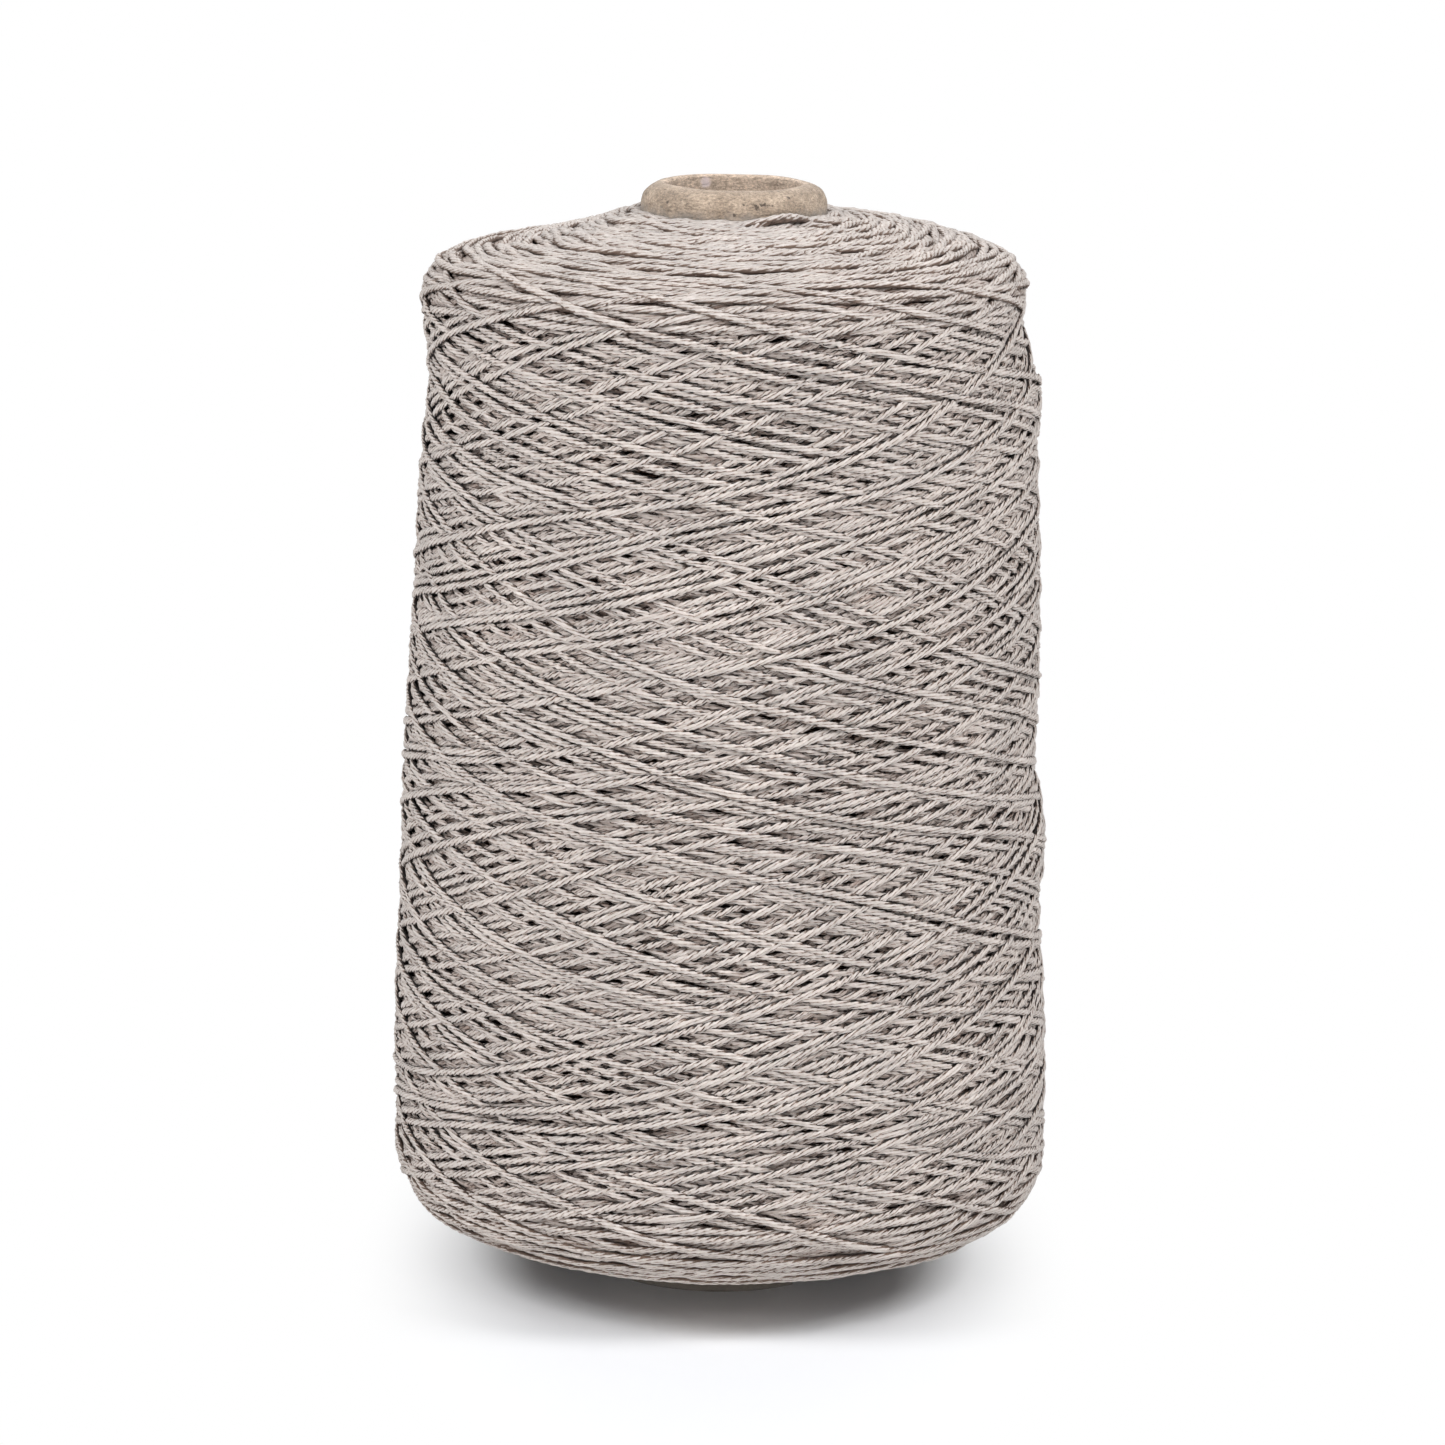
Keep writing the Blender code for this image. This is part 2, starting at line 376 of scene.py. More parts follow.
def spot(tree, position, centre, radius, raggedness, stretch=(1.0, 1.0, 1.0)):
    """A mask of a small ragged mark: it fades between half the radius and the radius, its edge is
    broken by noise, and it is drawn out where stretch is below 1."""
    away = vector_node(tree, "SUBTRACT", position, centre).outputs["Vector"]
    away = vector_node(tree, "MULTIPLY", away, stretch).outputs["Vector"]
    distance = vector_node(tree, "LENGTH", away).outputs["Value"]
    broken = noise(tree, position, 1600.0, roughness=0.7)
    ragged = times(tree, minus(tree, broken, 0.5), raggedness)
    return fall(tree, plus(tree, distance, ragged), 0.5 * radius, radius)


def nose_point(across, below_top):
    """The point on the front of the nose so far right of the axis and below the top."""
    turned_in = max(0.0, NOSE_OUTER_ROUND - below_top)
    reach = NOSE_RADIUS - NOSE_OUTER_ROUND + math.sqrt(NOSE_OUTER_ROUND ** 2 - turned_in ** 2)
    return (across, -math.sqrt(reach * reach - across * across), CONE_LENGTH - below_top)


ROUND_MARK = (1.0, 1.0, 1.0)
LONG_MARK = (0.30, 1.0, 1.0)

# Dark marks on the front of the nose: right of the axis, below the top, radius, raggedness, form.
NOSE_MARKS = (
    (0.0045, 0.0030, 0.0007, 0.0020, ROUND_MARK),
    (0.0061, 0.0026, 0.0004, 0.0016, LONG_MARK),
    (0.0076, 0.0028, 0.0003, 0.0008, LONG_MARK),
    (0.0001, 0.0046, 0.0004, 0.0009, ROUND_MARK),
    (-0.0055, 0.0046, 0.0003, 0.0006, LONG_MARK),
    (-0.0137, 0.0029, 0.0005, 0.0009, LONG_MARK),
    (0.0108, 0.0014, 0.0004, 0.0006, LONG_MARK),
    (0.0020, 0.0026, 0.0003, 0.0008, ROUND_MARK),
    (0.0172, 0.0036, 0.0003, 0.0005, ROUND_MARK),
)


def make_board_finish():
    """Short brown and cream fibres felted together: fine grain, faint creases that run round the
    nose, a bore painted paler as painted light for the light that reaches into it, a greyer band
    below the rounding where lint from the yarn clings, small dark specks and scuffs on the nose,
    and a pale smear of glue at its back."""
    light, dark = (0.432, 0.341, 0.261, 1.0), (0.288, 0.223, 0.167, 1.0)
    bore_painted_light = (1.45, 1.45, 1.50, 1.0)
    lint_grey = (0.25, 0.224, 0.20, 1.0)
    crease_brown = (0.18, 0.125, 0.08, 1.0)
    speck_brown = (0.045, 0.032, 0.026, 1.0)
    glue_pink = (0.78, 0.66, 0.67, 1.0)
    glue_place = (-0.0060, 0.0128, CONE_LENGTH - 0.0017)
    material, tree, shader = new_finish("pulp_board")
    position = add_node(tree, "ShaderNodeTexCoord").outputs["Object"]
    at = split(tree, position)
    colour, fibre = mottle(tree, scaled(tree, position, (1.0, 1.0, 1.8)), light, dark,
                           drift_scale=210.0, fleck_scale=1500.0, fleck=3.3)
    from_axis = math_node(tree, "SQRT", plus(tree, math_node(tree, "POWER", at["X"], 2.0),
                                             math_node(tree, "POWER", at["Y"], 2.0)))
    # Painted light: the bore's colour is lifted, standing in for the light that reaches into it.
    colour = mixed(tree, fall(tree, from_axis, 0.0142, 0.0156), colour, bore_painted_light, "MULTIPLY")
    patchy = times(tree, noise(tree, position, 420.0), 0.005)
    lint = fall(tree, plus(tree, at["Z"], patchy), CONE_LENGTH - 0.0040, CONE_LENGTH - 0.0012)
    colour = stained(tree, colour, lint, 0.8, lint_grey)
    creases = noise(tree, scaled(tree, position, (0.22, 0.22, 2.4)), 620.0, detail=4.0,
                    roughness=0.7)
    crease = ramp(tree, creases, 0.58, 0.72)
    colour = stained(tree, colour, crease, 0.45, crease_brown)
    for across, below_top, radius, raggedness, stretch in NOSE_MARKS:
        mark = spot(tree, position, nose_point(across, below_top), radius, raggedness, stretch)
        colour = stained(tree, colour, mark, 0.8, speck_brown)
    glue = spot(tree, position, glue_place, radius=0.0015, raggedness=0.0012)
    colour = stained(tree, colour, glue, 0.7, glue_pink)
    relief = minus(tree, fibre, times(tree, crease, 0.5))
    set_inputs(tree, shader, {"Base Color": colour, "Normal": bump(tree, relief, 0.00040),
                              "Roughness": 0.92, "Specular IOR Level": 0.25,
                              "Sheen Weight": 0.15})
    return material


cone.data.materials.append(make_board_finish())
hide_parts("paper_cone")
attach(cone, "root")


# ---------------------------------------------------------------------------------------------
# The yarn. One strand is wound at a steady turn while a guide carries it up and down, so up and
# down strokes cross. It is laid here as a winder lays it: each stretch rests on what is already
# there, bridges the hollows under tension, and slips a little into the groove beside it.

PACKAGE_RADIUS = 0.06575         # halfway up the cone
PACKAGE_TAPER = math.radians(1.92)
FACE_SLOPE = math.radians(14.3)
LOWER_SHOULDER = 0.01475
UPPER_SHOULDER = 0.0090
BASE_BARE = 0.0037               # the height of cone that shows below the yarn
NOSE_BARE = 0.0053               # and above it
STRAND_WIDTH = 0.00165
STRAND_THICKNESS = 0.00120
OUTLINE_STEP = 0.00035
LAY_STEP = 0.0005                # between two points of a laid path


def package_outline():
    """The package's outline from the cone at the base, out over the lower shoulder, up the side
    and over the upper shoulder to the cone at the nose: its run, radius, height and outward
    normal, about every OUTLINE_STEP."""
    taper, slope = math.tan(PACKAGE_TAPER), math.tan(FACE_SLOPE)
    side = PACKAGE_RADIUS + taper * 0.5 * CONE_LENGTH
    low = np.array((cone_radius(BASE_BARE), BASE_BARE))
    high = np.array((cone_radius(CONE_LENGTH - NOSE_BARE), CONE_LENGTH - NOSE_BARE))
    low_face, high_face = low[1] - slope * low[0], high[1] + slope * high[0]
    low_corner_radius = (side - taper * low_face) / (1.0 + taper * slope)
    high_corner_radius = (side - taper * high_face) / (1.0 - taper * slope)
    low_corner = np.array((low_corner_radius, low_face + slope * low_corner_radius))
    high_corner = np.array((high_corner_radius, high_face - slope * high_corner_radius))
    lower_shoulder = rounded_corner(low, low_corner, high_corner, LOWER_SHOULDER, steps=60)
    upper_shoulder = rounded_corner(low_corner, high_corner, high, UPPER_SHOULDER, steps=60)
    points = spaced(np.vstack([low, lower_shoulder, upper_shoulder, high]), OUTLINE_STEP)
    heading = np.unwrap(np.arctan2(np.gradient(points[:, 1]), np.gradient(points[:, 0])))
    heading = smoothed(heading, width=5.0)
    return {"run": run_along(points), "radius": points[:, 0], "height": points[:, 1],
            "normal_r": np.sin(heading), "normal_z": -np.cos(heading)}


def smoothed(values, width):
    """A Gaussian average of a row of values, width samples wide, with the ends held."""
    reach = int(3.0 * width) + 1
    weights = np.exp(-0.5 * (np.arange(-reach, reach + 1) / width) ** 2)
    padded = np.pad(values, reach, "edge")
    return np.convolve(padded, weights / weights.sum(), "valid")


OUTLINE = package_outline()
RUN_LENGTH = OUTLINE["run"][-1]
RUN_STEP = OUTLINE["run"][1]
RUN_CELLS = len(OUTLINE["run"])
ROUND_CELLS = 1200


def on_outline(quantity, run):
    """A quantity of the outline at any run along it."""
    return np.interp(run, OUTLINE["run"], OUTLINE[quantity])


def smooth_drift(draw, share, knots):
    """A slow random drift of about unit size along share, by cosine steps between knots."""
    levels = draw.normal(0.0, 1.0, knots + 1)
    place = share * knots * 0.999
    i = place.astype(np.int64)
    ease = 0.5 - 0.5 * np.cos(math.pi * (place - i))
    return levels[i] * (1.0 - ease) + levels[i + 1] * ease


FACE_MARGIN = 0.0011             # the least run from a turn's middle to the end of the outline
FACE_ANGLE_STEP = 0.01

# Size, and waves in a turn.
FACE_SWAYS = ((0.0012, 0.93), (0.0012, 1.41), (0.0011, 3.1), (0.0008, 7.3))


def face_path(low, high, sweeps, turns, seed):
    """Turns that cover an end face: the strand sweeps slowly between the cone and the shoulder,
    about a strand's width further at each turn, and sways, so that turns lean on each other."""
    draw = np.random.default_rng(seed)
    angle = np.arange(0.0, turns * math.tau, FACE_ANGLE_STEP)
    share = angle / angle[-1]
    sweep = np.arccos(0.985 * np.cos(math.pi * sweeps * share)) / math.pi
    reach = 0.5 + (sweep - 0.5) * (0.93 + 0.07 * smooth_drift(draw, share, 3 * sweeps))
    run = low + (high - low) * reach
    for size, pace in FACE_SWAYS:
        phase = draw.uniform(0.0, math.tau) + smooth_drift(draw, share, turns) * 1.5
        run = run + size * np.sin(pace * angle + phase)
    run = np.clip(run, FACE_MARGIN, RUN_LENGTH - FACE_MARGIN)
    return angle + draw.uniform(0.0, math.tau), run


DOUBLE_STROKES = 180
STEPS_PER_STROKE = 800
STROKES_PER_CYCLE = 11           # after so many double strokes the strand falls beside itself
TURNS_PER_CYCLE = 54
SIDE_BY_SIDE = 0.00150
WINDING_SLOPE = 0.265
LOW_TURN = 0.028                 # the run at which the strokes turn back near the base
HIGH_TURN = RUN_LENGTH - 0.028   # and near the nose
LOWEST_TURN = LOW_TURN - 0.002
HIGHEST_TURN = HIGH_TURN + 0.009
REVERSAL_SHARPNESS = math.radians(72.0)
REVERSAL_WIDTH = 0.010

# Half waves in a stroke, size, and phase.
STROKE_SWAYS = ((5, 0.0030, 0.4), (9, 0.0019, 2.1), (16, 0.0010, 4.0))

# Length of strand from bend to bend, and size.
STRAND_BENDS = ((0.011, 0.0001), (0.023, 0.0002), (0.047, 0.0003), (0.113, 0.0005))


def stroke_path(seed):
    """The strand's strokes over the side. The travel is the arc sine of a sine, which is a
    zigzag with round reversals. A cycle of strokes ends a strand's width beside its start, so
    that the next cycle lies alongside. Each reversal then slips back to a level of its own."""
    draw = np.random.default_rng(seed)
    strokes = 2 * DOUBLE_STROKES
    phase = np.arange(strokes * STEPS_PER_STROKE) / STEPS_PER_STROKE
    share = phase / strokes
    travel = np.arcsin(-math.sin(REVERSAL_SHARPNESS) * np.cos(math.pi * phase))
    travel = travel / REVERSAL_SHARPNESS
    run = LOW_TURN + (HIGH_TURN - LOW_TURN) * (0.5 + 0.5 * travel)
    for half_waves, size, start in STROKE_SWAYS:
        run = run + size * np.sin(math.pi * half_waves * phase + start)
    round_middle = math.tau * PACKAGE_RADIUS
    shift = SIDE_BY_SIDE / (STROKES_PER_CYCLE * WINDING_SLOPE * round_middle)
    pace = TURNS_PER_CYCLE / STROKES_PER_CYCLE + shift * (
        1.0 + 0.45 * smooth_drift(draw, share, 17) + 0.9 * smooth_drift(draw, share, 110))
    wound = np.cumsum(0.5 * pace)
    angle = math.tau * wound / STEPS_PER_STROKE
    length = wound / STEPS_PER_STROKE * round_middle
    reversal = np.round(phase).astype(int)
    level = np.where(np.arange(strokes + 1) % 2 == 0,
                     LOWEST_TURN + 0.034 * draw.beta(1.1, 2.0, strokes + 1),
                     HIGHEST_TURN - 0.029 * draw.beta(1.3, 1.8, strokes + 1))[reversal]
    turning_low = reversal % 2 == 0
    beyond = np.where(turning_low, level - run, run - level)
    slip = 0.5 * (beyond + np.hypot(beyond, REVERSAL_WIDTH))
    near_reversal = np.clip(np.sin(math.pi * (phase - 0.5)) ** 2 * 4.0, 0.0, 1.0)
    run = run + np.where(turning_low, slip, -slip) * near_reversal
    for wavelength, size in STRAND_BENDS:
        run = run + size * smooth_drift(draw, share, int(length[-1] / wavelength))
    return angle, run


def evenly(path):
    """A path (angle, run) at even steps of its length, with its heading: the shares of a step
    that go round and up."""
    angle, run = path
    radius = on_outline("radius", run)
    moved = np.hypot(np.diff(angle) * 0.5 * (radius[1:] + radius[:-1]), np.diff(run))
    length = np.concatenate([[0.0], np.cumsum(moved)])
    even = np.arange(0.0, length[-1], LAY_STEP)
    angle, run = np.interp(even, length, angle), np.interp(even, length, run)
    forward, upward = np.gradient(angle) * on_outline("radius", run), np.gradient(run)
    size = np.hypot(forward, upward)
    return {"angle": angle, "run": run, "forward": forward / size, "upward": upward / size}


laid = {
    "nose_turns": evenly(face_path(RUN_LENGTH - FACE_MARGIN, RUN_LENGTH - 0.0034,
                                   sweeps=1, turns=5, seed=24)),
    "lower_face_turns": evenly(face_path(0.0012, 0.040, sweeps=7, turns=128, seed=21)),
    "upper_face_turns": evenly(face_path(RUN_LENGTH - 0.0012, RUN_LENGTH - 0.042,
                                         sweeps=7, turns=120, seed=22)),
    "side_turns": evenly(stroke_path(seed=23)),
}


def footprint(path, part, aside):
    """The cells of the unrolled package under a stretch of a path, at offsets to its side."""
    angle, run = path["angle"][part, None], path["run"][part, None]
    radius = on_outline("radius", run)
    at_angle = angle - aside * path["upward"][part, None] / radius
    at_run = run + aside * path["forward"][part, None]
    i = np.floor(at_angle / math.tau * ROUND_CELLS).astype(np.int64) % ROUND_CELLS
    j = np.clip((at_run / RUN_STEP).astype(np.int64), 0, RUN_CELLS - 1)
    return i * RUN_CELLS + j


def bury(path, cover):
    """How many later turns lie over each point of a path, and what share of its width none of
    them covers. The path is gone through from its end, 0.3 m at a time, and the cells under each
    stretch count one turn more."""
    across = np.linspace(-0.46, 0.46, 7)[None, :] * STRAND_WIDTH
    stretch = int(0.30 / LAY_STEP)
    over, shown = np.zeros(len(path["run"])), np.zeros(len(path["run"]))
    for stop in range(len(path["run"]), 0, -stretch):
        part = slice(max(0, stop - stretch), stop)
        cells = footprint(path, part, across)
        found = cover[cells]
        over[part] = found[:, 1:-1].mean(axis=1)
        shown[part] = (found == 0.0).mean(axis=1)
        cover[np.unique(cells)] += 1.0
    return over, shown


turns_over = np.zeros(ROUND_CELLS * RUN_CELLS)
for path in reversed(laid.values()):
    path["over"], path["shown"] = bury(path, turns_over)


EVEN_RISE = 0.0002
BARREL_RISE = 0.0008
BARREL_MIDDLE = 0.125
BARREL_REACH = 0.075

# Azimuth in degrees and run of each soft place's middle, its spread in both, and its rise.
SOFT_PLACES = (
    (-115.0, 0.240, 60.0, 0.010, 0.0008),
    (-20.0, 0.243, 60.0, 0.010, 0.0010),
    (-5.0, 0.075, 50.0, 0.025, 0.0004),
    (140.0, 0.120, 70.0, 0.040, 0.0006),
    (180.0, 0.232, 45.0, 0.009, 0.0014),
    (0.0, 0.231, 45.0, 0.010, -0.0030),
    (12.0, 0.260, 45.0, 0.012, 0.0018),
    (165.0, 0.264, 45.0, 0.015, -0.0012),
    (180.0, 0.052, 60.0, 0.018, -0.0011),
    (0.0, 0.128, 45.0, 0.028, -0.0007),
    (180.0, 0.215, 40.0, 0.010, -0.0010),
    (0.0, 0.215, 40.0, 0.007, 0.0012),
    (180.0, 0.110, 40.0, 0.014, -0.0005),
    (0.0, 0.139, 40.0, 0.010, -0.0008),
    (0.0, 0.121, 40.0, 0.009, 0.0012),
    (0.0, 0.104, 40.0, 0.009, -0.0006),
)


def turned_from(angle, azimuth):
    """How far an angle is turned from an azimuth in degrees, from -pi to pi."""
    return (angle - math.radians(azimuth) + math.pi) % math.tau - math.pi


def swelling(angle, run):
    """How far the wound package stands out from its even outline: a slight barrel, and a few
    broad soft places that the winding left higher or lower."""
    lift = EVEN_RISE + BARREL_RISE * np.exp(-((run - BARREL_MIDDLE) / BARREL_REACH) ** 2)
    for azimuth, along, spread, reach, rise in SOFT_PLACES:
        turned = turned_from(angle, azimuth)
        lift = lift + rise * np.exp(-(turned / math.radians(spread)) ** 2
                                    - ((run - along) / reach) ** 2)
    return lift * np.clip(np.minimum(run, RUN_LENGTH - run) / 0.012, 0.0, 1.0)


SLACK_RISE = 0.0017
SLACK_AZIMUTH = -60.0


def slack(angle, run, depth):
    """How far a top turn beside the nose stands off, where it was laid loose."""
    on_top = depth < 0.0003
    aside = turned_from(angle, SLACK_AZIMUTH) / 0.36
    along = (run - RUN_LENGTH + 0.0026) / 0.0011
    return SLACK_RISE * on_top * np.exp(-aside ** 2 - along ** 2)


PRESSED_DEPTH = 0.00106          # how deep the first turn above presses a turn
FACE_WIDTH = 0.040               # the run of each end face
STRAND_SIDES = 6
STRAND_SPACING = 0.00155         # between two rings of a strand
STRAND_LAY = 0.015               # the length in which the plies twist once round
LAY_DRIFT = 0.10
PLY_UNEVENNESS = 0.12            # of the width and thickness, ply by ply
STRAND_UNEVENNESS = 0.09         # and all plies together
QUADS_PER_PIECE = 96000


def strand_points(path, seed):
    """Centre points of a laid path in space, with its outward normals, its length so far, its
    depth, its plumpness, and whether any of it shows. Every turn above presses it deeper, the
    first ones most, and its own kinks lift and drop it a little. It is plumpest where nothing
    presses on it, and on the end faces, where it is laid with less tension."""
    draw = np.random.default_rng(seed)
    length = np.arange(len(path["angle"])) * LAY_STEP
    even = np.arange(0.0, length[-1], STRAND_SPACING)
    near, far = smoothed(path["over"], width=2.5), smoothed(path["over"], width=14.0)
    depth = PRESSED_DEPTH * np.maximum(0.65 * near + 0.35 * far, 0.0) ** 0.68
    bare = np.convolve(path["shown"] > 0.25, np.ones(3), "same") > 0.5
    shows = bare[np.round(even / LAY_STEP).astype(int)]
    angle, run, depth = (np.interp(even, length, v) for v in (path["angle"], path["run"], depth))
    on_face = np.maximum(FACE_WIDTH - run, run - RUN_LENGTH + FACE_WIDTH)
    on_face = np.clip(on_face / 0.012, 0.0, 1.0)
    clear_of_nose = np.clip((RUN_LENGTH - run - 0.002) / 0.006, 0.0, 1.0)
    depth = depth * (1.0 + 0.75 * on_face * clear_of_nose)
    share = even / even[-1]
    kinks = (0.00010 * smooth_drift(draw, share, int(even[-1] / 0.007))
             + 0.00014 * smooth_drift(draw, share, int(even[-1] / 0.030)))
    normal_r, normal_z = on_outline("normal_r", run), on_outline("normal_z", run)
    inward = (depth + 0.5 * STRAND_THICKNESS - swelling(angle, run) + kinks
              - slack(angle, run, depth))
    radius = on_outline("radius", run) - inward * normal_r
    points = np.column_stack([radius * np.cos(angle), radius * np.sin(angle),
                              on_outline("height", run) - inward * normal_z])
    normals = np.column_stack([normal_r * np.cos(angle), normal_r * np.sin(angle), normal_z])
    plump = 0.93 + 0.17 * np.exp(-(depth / 0.0007) ** 2) + 0.25 * on_face
    return points, normals, even, depth, plump, shows


def strand_sections(points, normals, length, plump, seed):
    """Six-sided rings square to the strand, a corner on the crown of each ply. The rings turn
    with the lay, so that the plies run round the strand as helices, and each ply swells and
    thins by itself along the length as spun yarn does. Returns the rings, and how much each
    corner faces outward, from -1 to 1."""
    draw = np.random.default_rng(seed)
    forward = np.gradient(points, axis=0)
    forward /= np.linalg.norm(forward, axis=1)[:, None]
    aside = np.cross(forward, normals)
    aside /= np.linalg.norm(aside, axis=1)[:, None]
    outward = np.cross(aside, forward)
    share = length / length[-1]
    lay = length / STRAND_LAY + LAY_DRIFT * smooth_drift(draw, share, int(length[-1] / 0.012))
    turn = math.tau * (np.arange(STRAND_SIDES)[None, :] / STRAND_SIDES + lay[:, None])
    lumps = draw.normal(0.0, 1.0, (len(points), STRAND_SIDES))
    lumps = 0.6 * lumps + 0.4 * (np.roll(lumps, 1, axis=0) + np.roll(lumps, -1, axis=0))
    slubs = smoothed(draw.normal(0.0, 1.0, len(points)), width=1.5)[:, None]
    swell = plump[:, None] * (1.0 + PLY_UNEVENNESS * lumps + STRAND_UNEVENNESS * slubs)
    half_width = (0.5 * STRAND_WIDTH * swell * np.cos(turn))[:, :, None]
    half_height = (0.5 * STRAND_THICKNESS * swell * np.sin(turn))[:, :, None]
    rings = points[:, None, :] + aside[:, None, :] * half_width + outward[:, None, :] * half_height
    return rings, np.sin(turn)


def visible_runs(shows):
    """(first, last) of each stretch that isn't buried, with a margin at both of its ends."""
    shown = np.convolve(shows, np.ones(3), "same") > 0.5
    edges = np.flatnonzero(np.diff(np.concatenate([[0], shown.astype(np.int8), [0]])))
    return [(a, b) for a, b in zip(edges[::2], edges[1::2]) if b - a > 3]


def batches(runs):
    """The runs in their order, in batches that stay under the size limit of a piece."""
    batch, size = [], 0
    for first, last in runs:
        quads = (last - first) * STRAND_SIDES
        if size + quads > QUADS_PER_PIECE:
            yield batch
            batch, size = [], 0
        batch.append((first, last))
        size += quads
    yield batch


def mark_points(piece, mark, values):
    """Gives every vertex of a piece a value that the material reads under the mark's name."""
    attribute = piece.data.attributes.new(mark, "FLOAT", "POINT")
    attribute.data.foreach_set("value", values.ravel().astype(np.float32))


def tubes(name, rings, length, marks, batch):
    """One mesh of closed tubes: quads between neighbouring rings of a run, and two quads over
    each end. U runs along the strand in millimetres and V once round it, with the plies."""
    index = np.concatenate([np.arange(a, b) for a, b in batch])
    ends = np.cumsum([b - a for a, b in batch])
    starts = np.concatenate([[0], ends[:-1]])
    joined = np.ones(len(index), bool)
    joined[ends - 1] = False
    row, side = np.flatnonzero(joined)[:, None], np.arange(STRAND_SIDES)[None, :]
    along = (length[index] - length[index[0]]) * 1000.0
    corners = ((0, 0), (0, 1), (1, 1), (1, 0))
    quads = np.stack([(row + i) * STRAND_SIDES + (side + j) % STRAND_SIDES for i, j in corners],
                     axis=-1).reshape(-1, 4)
    corner_uv = np.stack([
        np.stack(np.broadcast_arrays(along[row + i], (side + j) / STRAND_SIDES), axis=-1)
        for i, j in corners], axis=2).reshape(-1, 2)
    cap = np.array([(0, 3, 2, 1), (0, 5, 4, 3)])
    start_caps = (starts[:, None, None] * STRAND_SIDES + cap).reshape(-1, 4)
    end_caps = ((ends[:, None, None] - 1) * STRAND_SIDES + cap[:, ::-1]).reshape(-1, 4)
    quads = np.vstack([quads, start_caps, end_caps])
    corner_uv = np.vstack([corner_uv, np.zeros((4 * (len(start_caps) + len(end_caps)), 2))])
    piece = quad_mesh(name, rings[index].reshape(-1, 3), quads, corner_uv)
    for mark, values in marks.items():
        mark_points(piece, mark, values[index])
    return piece


def make_strand_pieces(name, path, seed):
    """Turns a laid path into numbered pieces of closed tubes, which know how deep each point is
    buried, in millimetres, and how much it faces outward."""
    points, normals, length, depth, plump, shows = strand_points(path, seed)
    rings, facing = strand_sections(points, normals, length, plump, seed + 100)
    marks = {"buried": np.repeat(depth * 1000.0, STRAND_SIDES).reshape(facing.shape),
             "facing": facing}
    return [tubes(f"{name}_{number:02d}", rings, length, marks, batch)
            for number, batch in enumerate(batches(visible_runs(shows)), 1)]


strand_pieces = []
for number, (name, path) in enumerate(laid.items()):
    strand_pieces += make_strand_pieces(name, path, 40 + number)


def make_yarn_finish():
    """Six soft plies twisted together, with a crown on each ring corner and a groove between,
    painted darker as painted shade, and fine fibres that lie along them. Little light gets down
    between the turns, so the strand's flanks are painted dark as painted shade, with a ragged
    edge, and the buried turns are painted browner as painted shade. The flanks are less dark on
    the end faces, which lie open to the light. Where the fibres and the painted shade darken the
    yarn, its colour also turns warm."""
    light, dark = (0.570, 0.514, 0.480, 1.0), (0.505, 0.459, 0.432, 1.0)
    # Painted shade: the dark brown that buried turns are painted towards, the deeper the more.
    painted_depth_shade = (0.27, 0.175, 0.135, 1.0)
    upper_shoulder, lower_shoulder = (0.204, 0.213), (0.010, 0.034)
    material, tree, shader = new_finish("greige_yarn")
    position = add_node(tree, "ShaderNodeTexCoord").outputs["Object"]
    height = split(tree, position)["Z"]
    uv = split(tree, add_node(tree, "ShaderNodeUVMap", uv_map="UVMap").outputs["UV"])
    buried, facing = (add_node(tree, "ShaderNodeAttribute", attribute_name=mark).outputs["Fac"]
                      for mark in ("buried", "facing"))
    turn = times(tree, uv["Y"], math.tau)
    wave = math_node(tree, "COSINE", times(tree, turn, float(STRAND_SIDES)))
    crown = math_node(tree, "POWER", times(tree, plus(tree, wave, 1.0), 0.5), 0.4)
    fibres = add_node(tree, "ShaderNodeCombineXYZ", {
        "X": times(tree, uv["X"], 0.7),
        "Y": times(tree, math_node(tree, "COSINE", turn), 2.6),
        "Z": times(tree, math_node(tree, "SINE", turn), 2.6)}).outputs["Vector"]
    fibre = ramp(tree, noise(tree, fibres, 1.0, detail=4.0, roughness=0.7), 0.28, 0.72)
    colour, _ = mottle(tree, position, light, dark,
                       drift_scale=75.0, fleck_scale=900.0, fleck=0.35)
    # Painted shade: buried turns are painted towards dark brown, the deeper the more.
    colour = mixed(tree, ramp(tree, buried, 0.2, 2.6), colour, painted_depth_shade)
    streak = plus(tree, 0.86, times(tree, fibre, 0.30))
    # Painted shade: the groove between the plies is painted darker.
    groove = plus(tree, 0.80, times(tree, crown, 0.24))
    ragged = plus(tree, times(tree, crown, 0.5), times(tree, fibre, 0.5))
    notched = plus(tree, facing, minus(tree, ragged, 0.61))
    end_face = plus(tree, ramp(tree, height, *upper_shoulder),
                    fall(tree, height, *lower_shoulder))
    open_light = plus(tree, 0.01, times(tree, end_face, 0.30))
    # Painted shade: the flanks between the turns are painted dark, less so on the end faces.
    flank = math_node(tree, "MAXIMUM", ramp(tree, notched, 0.14, 0.60), open_light)
    shade = times(tree, times(tree, streak, groove), flank)
    # The painted shade turns warm where it is dark: red is lifted and blue lowered.
    warm_painted_shade = add_node(tree, "ShaderNodeCombineColor",
                      {"Red": math_node(tree, "POWER", shade, 0.81), "Green": shade,
                       "Blue": math_node(tree, "POWER", shade, 1.13)}).outputs["Color"]
    colour = mixed(tree, 1.0, colour, warm_painted_shade, "MULTIPLY")
    relief = plus(tree, times(tree, crown, 0.7), times(tree, fibre, 0.6))
    set_inputs(tree, shader, {"Base Color": colour, "Normal": bump(tree, relief, 0.00020),
                              "Roughness": 0.85, "Specular IOR Level": 0.1,
                              "Sheen Weight": 0.1, "Sheen Roughness": 0.5})
    return material


